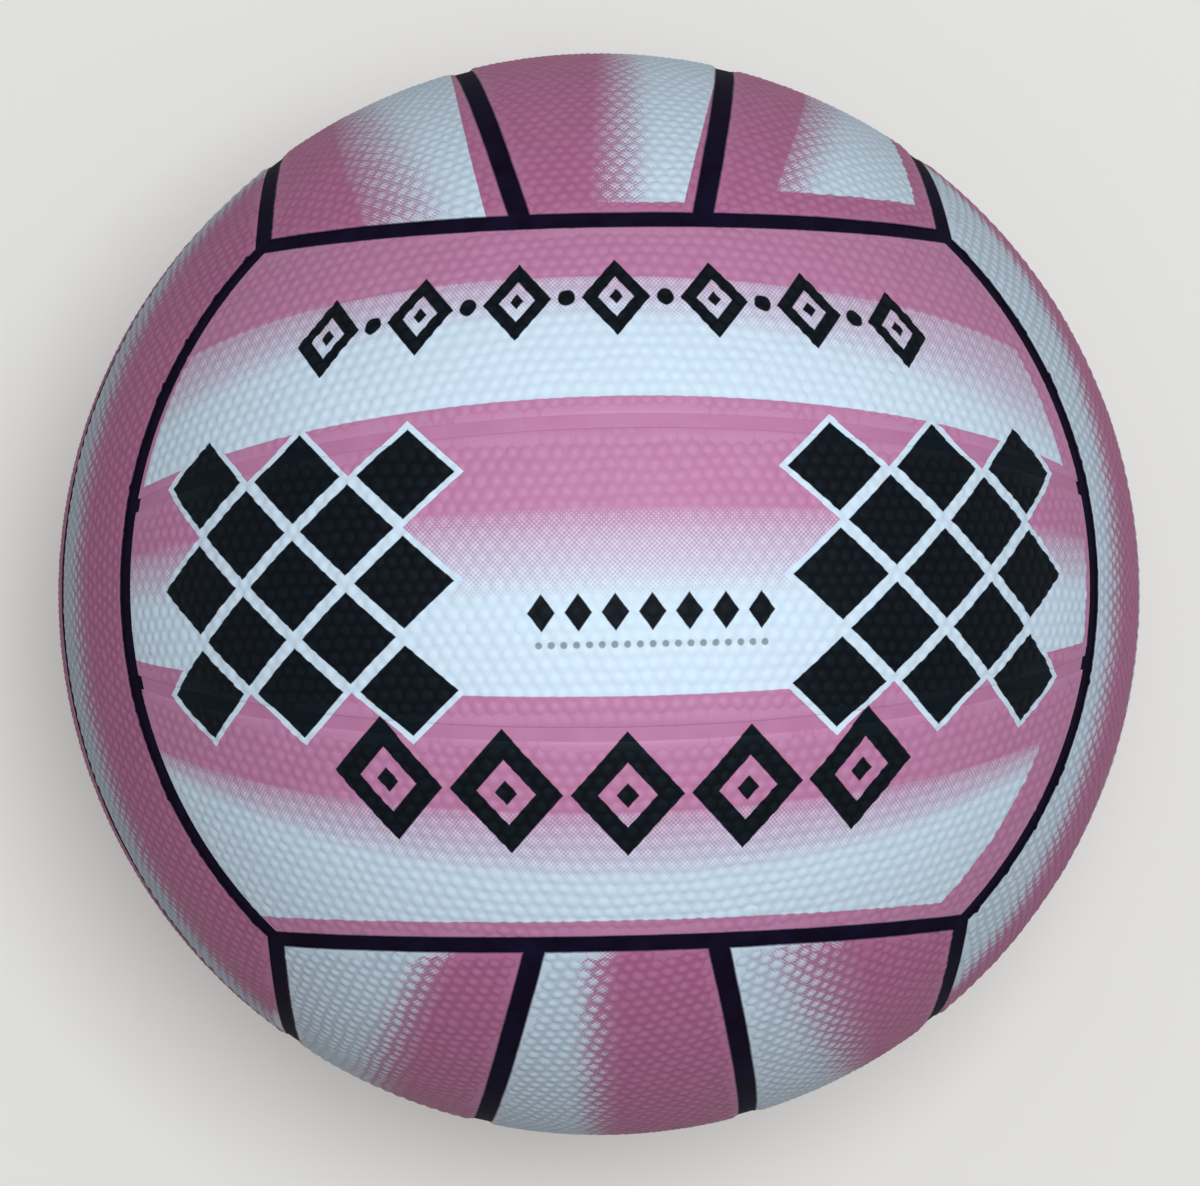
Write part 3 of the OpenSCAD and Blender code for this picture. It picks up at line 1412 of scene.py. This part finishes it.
        # Regular dots bunch the tones round the middle of a fade, so the fade is bent against it
        bunched = max(0.0, 1 - self.bunching * missed)
        centred = cover * 2 - 1
        level = centred * (centred.size() * bunched + (1 - bunched)) * 0.5 + 0.5
        blur = self.dot_blur
        sharp = (level * (1 + 2 * blur) - blur).above(hidden, blur)
        return sharp * crisp + cover * (1 - crisp)

    def reaches(self, face: Face) -> tuple[float, float]:
        """Finds how far the seam paint reaches onto a face.

        Args:
            face: The face.

        Returns:
            The reach at the face's ends and at its sides.
        """
        if face in (Face.CROWN, Face.BASE):
            return self.crown_reach, self.crown_reach
        if face in (Face.NORTH, Face.SOUTH):
            return self.outer_reach, self.side_reach
        return self.side_reach, self.outer_reach

    def white_share(
        self,
        finish: Finish,
        face: Face,
        band: WhiteBand,
        wobble: Signal,
    ) -> Signal:
        """Draws a strip's white band.

        Args:
            finish: The material.
            face: The panel's face.
            band: The band.
            wobble: Small unevenness for its edges, about 0 on average.

        Returns:
            How much white shows.
        """
        along, _, tilt = finish.numbers(PLACE)
        end_gap, side_gap, _ = finish.numbers(GAPS)
        end_reach, side_reach = self.reaches(face)
        share = along * (1 / self.half_length)
        fade = (tilt - band.fade.along(share)) * band.way
        ramp = fade.over(band.fade_w.along(share).most(self.least_fade)) + 0.5
        cover = ramp.clamped() * (1 - band.jump) + band.jump
        missed = self.MISSED_INK_AND_SHADE.get(face, 0.0)
        crisp = self.side_crisp if missed else self.crown_crisp
        begun = ramp.above(0.0, self.start_blur)
        white = self.screened(finish, cover * begun, missed, crisp)
        if band.edge:
            inside = (tilt - band.edge.along(share)) * -band.way
            white = white * (inside + wobble * self.edge_waver).above(0.0, self.edge_blur)
        waver = wobble * self.border_waver
        if any(band.ends):
            high = along.above(0.0, 1.0)
            border = high * (band.ends[1] - band.ends[0]) + (band.ends[0] + end_reach)
            white = white * (end_gap + waver).above(border, self.border_blur)
        if band.side:
            white = white * (side_gap + waver).above(band.side + side_reach, self.border_blur)
        return white

    def paint_gap(self, finish: Finish, face: Face) -> Signal:
        """Finds how far the seam paint's edge is, in millimetres.

        Args:
            finish: The material.
            face: The panel's face.

        Returns:
            The distance outside the painted strip, or less than 0 within it.
        """
        end_gap, side_gap, inner_gap = finish.numbers(GAPS)
        end_reach, side_reach = self.reaches(face)
        gap = (end_gap - end_reach).least(side_gap - side_reach)
        if face not in (Face.CROWN, Face.BASE):
            gap = gap.least(inner_gap - self.inner_reach)
        sway = (finish.noise(self.sway_grain * MM, 1.0) - 0.5) * self.paint_sway
        fray = (finish.noise(self.fray_grain * MM, 1.0) - 0.5) * self.paint_fray
        x, y, z = finish.place()
        corner = (x.size() + y.size() + z.size()) * (1 / (math.sqrt(3) * self.outer_r * MM))
        spread = corner.above(self.corner_start, self.corner_blur) * self.corner_spread
        return gap - sway - fray - spread

    def dress(self, name: str, face: Face, strip: Strip) -> bpy.types.Material:
        """Makes the material of one panel.

        Args:
            name: The panel's name.
            face: Its face.
            strip: Its strip.

        Returns:
            The material.
        """
        finish = Finish(f"printed_rubber_{name}")
        along, across, _ = finish.numbers(PLACE)
        pebble = finish.number(PEBBLE)
        mottle = finish.noise(self.cloud_grain * MM, 3.0)
        fine = finish.noise(self.fine_grain * MM, 2.0)
        wobble = finish.noise(self.waver_grain * MM, 2.0) - 0.5
        relief, shade = self.PEBBLE_SHADE.get(face, self.crown_pebble_shade)
        # Painted shade between the pebbles, mixed with faint clouds in the rubber's own tone
        valley = (pebble.opposite() * relief + mottle * self.clouds - self.clear).clamped()
        if face in self.PEBBLE_SHADE:
            pink = finish.mix(valley, self.side_pink, self.side_pink_in_pebble_shade)
        else:
            pink = finish.mix(valley, self.pink, self.pink_shade_and_patch)
        white = finish.mix((valley * shade).clamped(), self.white, self.shaded_white)
        share = self.white_share(finish, face, PRINTS[face, strip], wobble)
        colour = finish.mix(share, pink, white)
        dark = self.paint_gap(finish, face)
        # Navy fringe along the seam paint's edge: spilled paint, with painted blue glints
        edge = dark.below(self.navy_at, self.navy_blur) * self.navy_share
        paint = dark.below(self.paint_at, self.paint_blur)
        if face is Face.CROWN:
            waver = wobble * self.waver
            black, light = HarlequinPrint().draw(along + waver, across + waver)
            colour = self.overprinted(finish, colour, white, black, light, pebble * fine)
            dull = paint.most(black * self.matt_share)
        else:
            dull = paint
        finish.specular(dull * (self.paint_shine - COVER_SHINE) + COVER_SHINE)
        colour = finish.mix(edge, colour, self.navy_tint_and_glint)
        finish.colour(finish.mix(paint, colour, self.paint))
        finish.roughness(fine * self.uneven + self.rough)
        finish.bump(fine, self.relief * MM)
        return finish.material

    def overprinted(
        self,
        finish: Finish,
        under: Paint,
        white: Paint,
        black: Signal,
        light: Signal,
        top_sheen_and_wear: Signal,
    ) -> bpy.types.NodeSocket:
        """Lays the black and white lozenges over a colour, and gives the mixed colour."""
        # Lighter ink where the mask is high: wear, with a painted sheen on the pebbles' tops
        ink = finish.mix((top_sheen_and_wear * self.top_sheen_and_wear).clamped(), self.ink, self.ink_sheen_and_wear)
        return finish.mix(black, finish.mix(light, under, white), ink)

    def dress_channel(self, name: str) -> bpy.types.Material:
        """Makes the material of the crown's smooth channels, which the lozenges cross.

        Args:
            name: Its name.

        Returns:
            The material.
        """
        finish = Finish(name)
        x, y, z = finish.place()
        along = x.angle(z) * self.outer_r
        across = y.over(x.length(z).length(y)).arcsine() * self.outer_r
        fine = finish.noise(SMOOTH_GRAIN, 2.0)
        pink = finish.mix(finish.noise(CHANNEL_GRAIN, 2.0), self.pink, self.pink_shade_and_patch)
        black, light = HarlequinPrint().draw(along, across)
        finish.colour(self.overprinted(finish, pink, self.white, black, light, fine))
        finish.roughness(fine * self.uneven + self.rough)
        finish.specular(black * (self.ink_shine - COVER_SHINE) + COVER_SHINE)
        finish.bump(fine, self.relief / 2 * MM)
        return finish.material


@dataclass
class Cover:
    """The ball's cover: eighteen pebbled panels.

    Args:
        sizes: Sizes of the cover.
        finish: Its rubber and inks.
        pebbles: Sizes of the grain on the crown and the base.
        side_pebbles: Sizes of the grain on the side faces.
        valve_r: Radius of the hole for the valve plug.
        valve_sides: How many flat sides stand for the hole's roundness.
        valve_spot: Radius of the smooth spot round it.
        bare: Smooth margin beside the seams within a face.
        sharp_angle: Angle from which an edge looks sharp, in degrees.
        first_seed: Start of the random numbers for the side faces' panels.
    """

    sizes: CoverSizes
    finish: CoverFinish
    pebbles: PebbleSizes = field(default_factory=PebbleSizes)
    side_pebbles: PebbleSizes = field(
        default_factory=lambda: PebbleSizes(height=0.36 * MM, shoulder_share=0.60)
    )
    valve_r: float = 3.2 * MM
    valve_sides: int = 96
    valve_spot: float = 8.0 * MM
    bare: float = 0.2 * MM
    sharp_angle: float = 60.0
    first_seed: int = 11

    # What a face's strips, and the seams beside its middle strip, are called: plus side first
    SIDE_NAMES = {
        Face.CROWN: ("north", "south"),
        Face.BASE: ("south", "north"),
        Face.NORTH: ("east", "west"),
        Face.SOUTH: ("east", "west"),
        Face.EAST: ("upper", "lower"),
        Face.WEST: ("upper", "lower"),
    }

    def node_name(self, face: Face, strip: Strip) -> str:
        """Names the frame's node for a panel."""
        names = {Strip.PLUS: self.SIDE_NAMES[face][0], Strip.MINUS: self.SIDE_NAMES[face][1]}
        return f"{face.name.lower()}_panel_{names.get(strip, 'middle')}"

    def pattern(self, face: Face, strip: Strip) -> PebbledPanel:
        """Chooses how a panel is made.

        Args:
            face: The panel's face.
            strip: Its strip.

        Returns:
            The panel's maker.
        """
        plain = face in (Face.CROWN, Face.BASE)
        valve = face is Face.BASE and strip is Strip.MIDDLE
        rows = Rows.ALONG
        if face is Face.NORTH or (face, strip) == (Face.SOUTH, Strip.PLUS):
            rows = Rows.ACROSS
        elif (face, strip) == (Face.SOUTH, Strip.MIDDLE):
            rows = Rows.SLANTING
        return PebbledPanel(
            cover=self.sizes,
            pebbles=self.pebbles if plain else self.side_pebbles,
            strip=Strip.MIDDLE if strip is Strip.MIDDLE else Strip.PLUS,
            seam_w=self.sizes.plain_seam_w if plain else self.sizes.seam_w,
            bare=self.bare,
            inner_shoulder=self.sizes.soft_shoulder if plain else self.sizes.shoulder,
            outer_lip=self.sizes.wide_lip if plain else self.sizes.lip,
            rows=rows,
            seed=self.first_seed + 2 * plain + valve,
            smooth_spot=self.valve_spot if valve else 0.0,
        )

    def place_numbers(self, piece: bpy.types.Object, face: Face) -> None:
        """Gives a panel's points their places and gaps, in millimetres and degrees.

        Args:
            piece: The panel, in its place on the ball.
            face: Its face.
        """
        ball_r = self.sizes.outer_r / MM
        points = points_of(piece.data) @ face.turn
        x, y, z = points.T / np.linalg.norm(points, axis=1) * ball_r
        along = ball_r * np.arctan2(x, z)
        across = ball_r * np.arcsin(y / ball_r)
        tilt = np.degrees(np.arctan2(y, z))
        cut = self.sizes.face_cut / MM
        angle = math.radians(self.sizes.strip_angle)
        inner = np.abs(np.abs(y) * math.cos(angle) - z * math.sin(angle))
        end = (z - cut) / self.sizes.face_slant
        side = (cut - np.abs(y)) / self.sizes.face_slant
        store(piece, PLACE, np.stack([along, across, tilt], 1))
        store(piece, GAPS, np.stack([end, side, inner], 1))

    def cut_valve_hole(self, piece: bpy.types.Object) -> None:
        """Cuts the hole that the valve plug fills, through the middle of a face.

        Args:
            piece: The panel, in its face's own axes.
        """
        deselect()
        bpy.ops.mesh.primitive_cylinder_add(
            vertices=self.valve_sides,
            radius=self.valve_r,
            depth=self.sizes.outer_r,
            location=(0, 0, self.sizes.outer_r),
        )
        cutter = bpy.context.object
        choose(piece)
        bpy.ops.object.modifier_add(type="BOOLEAN")
        cut = piece.modifiers[-1]
        cut.operation = "DIFFERENCE"
        cut.solver = "EXACT"
        cut.object = cutter
        bpy.ops.object.modifier_apply(modifier=cut.name)
        bpy.data.objects.remove(cutter)

    def build(self) -> None:
        """Models, places and dresses the eighteen panels."""
        made: dict[tuple, bpy.types.Object] = {}
        for face in Face:
            for strip in Strip:
                pattern = self.pattern(face, strip)
                key = (pattern.strip, pattern.rows, pattern.seed)
                if key not in made:
                    made[key] = pattern.build()
                    if pattern.smooth_spot and strip is Strip.MIDDLE:
                        self.cut_valve_hole(made[key])
                self.add_panel(made[key], face, strip)
        for piece in made.values():
            bpy.data.objects.remove(piece)

    def add_panel(self, model: bpy.types.Object, face: Face, strip: Strip) -> None:
        """Copies a modelled panel to its place on the ball.

        Args:
            model: The modelled panel.
            face: The face it goes to.
            strip: The strip it goes to.
        """
        node = self.node_name(face, strip)
        piece = model.copy()
        piece.data = model.data.copy()
        piece.name = f"pebbled_{node}"
        piece.data.name = piece.name
        bpy.context.scene.collection.objects.link(piece)
        points = points_of(piece.data)
        if strip is Strip.MINUS:
            points[:, :2] *= -1
        set_points(piece.data, points @ face.turn.T)
        self.place_numbers(piece, face)
        piece.data.materials.clear()
        piece.data.materials.append(self.finish.dress(node, face, strip))
        choose(piece)
        bpy.ops.object.shade_smooth_by_angle(angle=math.radians(self.sharp_angle))
        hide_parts(node)
        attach(piece, "root")
        LOG.info("%s: %d faces", piece.name, len(piece.data.polygons))


@dataclass(frozen=True)
class RubberFinish:
    """A plain moulded or painted rubber.

    Args:
        name: Its name.
        base: Its colour.
        patch: The colour of its patches.
        grain: Size of the patches, in metres.
        rough: Its roughness.
        relief: Depth of its fine relief, in metres.
        shine: How strongly it mirrors light.
        contrast: How clearly the patches stand out.
        uneven: By how much its roughness differs from spot to spot.
    """

    name: str
    base: Colour
    patch: Colour
    grain: float
    rough: float
    relief: float
    shine: float = 0.42
    contrast: float = 2.4
    uneven: float = 0.2

    def dress(self) -> bpy.types.Material:
        """Makes the material.

        Returns:
            The material.
        """
        finish = Finish(self.name)
        patches = finish.noise(self.grain, 3.0) * self.contrast - (self.contrast - 1) / 2
        fine = finish.noise(SMOOTH_GRAIN, 2.0)
        finish.colour(finish.mix(patches.clamped(), self.base, self.patch))
        finish.roughness(fine * self.uneven + (self.rough - self.uneven / 2))
        finish.shader.inputs["Specular IOR Level"].default_value = self.shine
        finish.bump(fine, self.relief)
        return finish.material


@dataclass(frozen=True)
class ThreadFinish:
    """Wound nylon thread set in rubber solution, seen as crossing turns.

    Args:
        thread: The thread's colour.
        shade: The colour between its turns.
        turns_per_metre: How many turns lie side by side on a metre.
        lays: The way that each of three layers of turns is counted in.
        rough: The thread's roughness.
        relief: Depth between the turns, in metres.
        layer_grain: Size of the places where one layer lies on top, in metres.
    """

    thread: Colour = (0.640, 0.620, 0.560)
    shade: Colour = (0.240, 0.225, 0.190)
    turns_per_metre: float = 1250.0
    lays: tuple[Place, ...] = ((1.0, 0.62, 0.31), (-0.47, 1.0, 0.58), (-0.71, -0.36, 1.0))
    rough: float = 0.72
    relief: float = 0.12 * MM
    layer_grain: float = 14 * MM

    def dress(self) -> bpy.types.Material:
        """Makes the material.

        Returns:
            The material.
        """
        finish = Finish("wound_nylon_thread")
        x, y, z = finish.place()
        turns = 2 * math.pi * self.turns_per_metre
        first, second, third = (
            ((x * lay[0] + y * lay[1] + z * lay[2]) * turns).cosine() for lay in self.lays
        )
        layer = finish.noise(self.layer_grain, 1.0)
        top = first.most(second * layer).most(third * layer.opposite())
        height = (top * 0.5 + 0.5).clamped()
        finish.colour(finish.mix(height, self.shade, self.thread))
        finish.shader.inputs["Roughness"].default_value = self.rough
        finish.bump(height, self.relief)
        return finish.material


@dataclass
class InnerParts:
    """The frame's own nodes that stay, with their materials.

    Args:
        cover: Finish of the cover.
    """

    cover: CoverFinish

    def seams(self, *faces: Face) -> list[str]:
        """Names the seams beside the middle strips of some faces."""
        return [f"{face.name.lower()}_seam_{side}" for face in faces for side in Cover.SIDE_NAMES[face]]

    def seam_finishes(self) -> dict[str, bpy.types.Material]:
        """Makes the materials of the channels' floors.

        Returns:
            Each node's name with its material.
        """
        paint = RubberFinish(
            "seam_paint",
            base=self.cover.paint,
            patch=self.cover.navy_tint_and_glint,
            grain=5 * MM,
            rough=0.70,
            relief=0.03 * MM,
            shine=self.cover.paint_shine,
        ).dress()
        pink = RubberFinish(
            "plain_channel_rubber",
            base=self.cover.pink,
            patch=self.cover.pink_shade_and_patch,
            grain=CHANNEL_GRAIN,
            rough=0.60,
            relief=0.01 * MM,
            shine=0.6,
        ).dress()
        printed = self.cover.dress_channel("printed_channel_rubber")
        black = self.seams(Face.NORTH, Face.SOUTH, Face.EAST, Face.WEST)
        found = dict.fromkeys(["face_seam_net", *black], paint)
        found.update(dict.fromkeys(self.seams(Face.BASE), pink))
        found.update(dict.fromkeys(self.seams(Face.CROWN), printed))
        return found

    def layer_finishes(self) -> dict[str, bpy.types.Material]:
        """Makes the materials of the layers under the cover and of the valve.

        Returns:
            Each node's name with its material.
        """
        carcass = RubberFinish(
            "carcass_rubber",
            base=(0.055, 0.055, 0.060),
            patch=(0.085, 0.083, 0.082),
            grain=9 * MM,
            rough=0.75,
            relief=0.05 * MM,
        ).dress()
        butyl = RubberFinish(
            "butyl_rubber",
            base=(0.018, 0.018, 0.020),
            patch=(0.034, 0.033, 0.036),
            grain=12 * MM,
            rough=0.40,
            relief=0.02 * MM,
        ).dress()
        valve = RubberFinish(
            "valve_rubber",
            base=(0.016, 0.016, 0.018),
            patch=(0.030, 0.030, 0.033),
            grain=2 * MM,
            rough=0.55,
            relief=0.02 * MM,
        ).dress()
        return {
            "carcass": carcass,
            "nylon_winding": ThreadFinish().dress(),
            "bladder": butyl,
            "valve_boss": valve,
            "valve_plug": valve,
        }

    def dress(self) -> None:
        """Gives every node that stays its material."""
        for name, material in (self.seam_finishes() | self.layer_finishes()).items():
            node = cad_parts[name]
            if not node.material_slots:
                LOG.warning("%s has no material slot", name)
            for slot in node.material_slots:
                slot.material = material
            LOG.info("%s: %s", name, material.name)


@dataclass
class Stage:
    """Floor, lights, world and camera.

    Args:
        floor_z: Height of the floor.
        floor_size: Length of its sides.
        floor_colour: Its colour.
        floor_shade: The colour of its faint patches.
        floor_patch: Size of the patches.
        floor_rough: Its roughness.
        near_glow: Strength of its glow near the ball.
        far_glow: The same far off, where the lamp gives it little light.
        glow_from: Distance from the middle at which the glow starts to grow.
        glow_to: Distance at which it has its full strength.
        lit_share: Share of the glow that lights the ball.
        sky: Colour of the world.
        sky_light: Strength with which the world lights the ball.
        key_colour: Colour of the lamp.
        key_place: Its place, from the ball's middle.
        key_watts: Its power.
        key_size: Length of its sides.
        camera_place: Place of the camera, from the ball's middle.
        camera_turn: Its turns round X, Y and Z, in degrees.
        lens_mm: Its focal length, in millimetres.
        sensor_mm: Width of its sensor, in millimetres.
        clip: The nearest and the furthest distance that it sees.
    """

    floor_z: float
    floor_size: float = 18.0
    floor_colour: Colour = (0.600, 0.582, 0.560)
    floor_shade: Colour = (0.585, 0.567, 0.545)
    floor_patch: float = 0.4
    floor_rough: float = 0.9
    near_glow: float = 0.72
    far_glow: float = 1.24
    glow_from: float = 0.35
    glow_to: float = 2.2
    lit_share: float = 0.50
    sky: Colour = (0.84, 0.835, 0.83)
    sky_light: float = 0.13
    key_colour: Colour = (0.91, 0.975, 1.0)
    key_place: Place = (0.045, 0.040, 0.70)
    key_watts: float = 4.1
    key_size: float = 0.22
    camera_place: Place = (-24.6 * MM, -15.9 * MM, 603.2 * MM)
    camera_turn: tuple[float, float, float] = (1.58, -2.32, -1.20)
    lens_mm: float = 86.52
    sensor_mm: float = 36.0
    clip: tuple[float, float] = (0.05, 20.0)

    def floor(self) -> None:
        """Lays the floor, which glows a little so that it stays pale far from the lamp."""
        deselect()
        bpy.ops.mesh.primitive_plane_add(size=self.floor_size, location=(0, 0, self.floor_z))
        floor = bpy.context.object
        floor.name = "studio_floor"
        finish = Finish("studio_floor")
        colour = finish.mix(finish.noise(self.floor_patch), self.floor_colour, self.floor_shade)
        finish.colour(colour)
        finish.shader.inputs["Roughness"].default_value = self.floor_rough
        x, y, _ = finish.place()
        reach = x.length(y)
        far = ((reach - self.glow_from) * (1 / (self.glow_to - self.glow_from))).clamped()
        glow = far * (self.far_glow - self.near_glow) + self.near_glow
        # Painted shadow: near the ball, most of all right under it, the glow fades by the share that
        # the ball hides
        under = (reach * reach * (1 / self.floor_z**2) + 1.0).power(-1.5)
        lit = seen_rays(finish.tree) * (1 - self.lit_share) + self.lit_share
        glow = glow * under.opposite() * lit
        finish.tree.links.new(colour, finish.shader.inputs["Emission Color"])
        finish.tree.links.new(glow.socket, finish.shader.inputs["Emission Strength"])
        floor.data.materials.append(finish.material)

    def world(self) -> None:
        """Makes the pale world, at a plain level of light."""
        world = bpy.data.worlds.new("studio")
        world.use_nodes = True
        tree = world.node_tree
        tree.nodes.clear()
        light = tree.nodes.new("ShaderNodeBackground")
        light.inputs["Color"].default_value = (*self.sky, 1.0)
        light.inputs["Strength"].default_value = self.sky_light
        pale = tree.nodes.new("ShaderNodeBackground")
        pale.inputs["Color"].default_value = (*self.sky, 1.0)
        mixed = tree.nodes.new("ShaderNodeMixShader")
        out = tree.nodes.new("ShaderNodeOutputWorld")
        tree.links.new(seen_rays(tree).socket, mixed.inputs[0])
        tree.links.new(light.outputs[0], mixed.inputs[1])
        tree.links.new(pale.outputs[0], mixed.inputs[2])
        tree.links.new(mixed.outputs[0], out.inputs[0])
        bpy.context.scene.world = world

    def key(self) -> None:
        """Hangs the soft lamp over the ball."""
        data = bpy.data.lights.new("overhead_softbox", "AREA")
        data.energy = self.key_watts
        data.size = self.key_size
        data.color = self.key_colour
        lamp = bpy.data.objects.new("overhead_softbox", data)
        lamp.visible_camera = False
        lamp.location = self.key_place
        lamp.rotation_euler = (-Vector(self.key_place)).to_track_quat("-Z", "Y").to_euler()
        bpy.context.scene.collection.objects.link(lamp)

    def camera(self) -> None:
        """Sets the camera over the ball, at the photograph's angle."""
        data = bpy.data.cameras.new("overhead_camera")
        data.sensor_width = self.sensor_mm
        data.lens = self.lens_mm
        data.clip_start, data.clip_end = self.clip
        camera = bpy.data.objects.new("overhead_camera", data)
        camera.location = self.camera_place
        camera.rotation_euler = [math.radians(turn) for turn in self.camera_turn]
        bpy.context.scene.collection.objects.link(camera)
        bpy.context.scene.camera = camera

    def build(self) -> None:
        """Builds the whole stage."""
        self.floor()
        self.world()
        self.camera()
        self.key()


def main() -> None:
    """Builds the ball and its stage."""
    logging.basicConfig(level=logging.INFO, format="%(name)s: %(message)s")
    deselect()
    panel, channel = (
        np.linalg.norm(points_of(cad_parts[name].data), axis=1)
        for name in ("crown_panel_middle", "face_seam_net")
    )
    sizes = CoverSizes(
        outer_r=float(panel.max()),
        floor_r=float(channel.max()),
        inner_r=float(panel.min()),
    )
    finish = CoverFinish(outer_r=sizes.outer_r / MM)
    Cover(sizes, finish).build()
    InnerParts(finish).dress()
    Stage(floor_z=-sizes.outer_r).build()
    bpy.context.scene.view_settings.view_transform = "Standard"
    deselect()


if __name__ == "__main__":
    main()
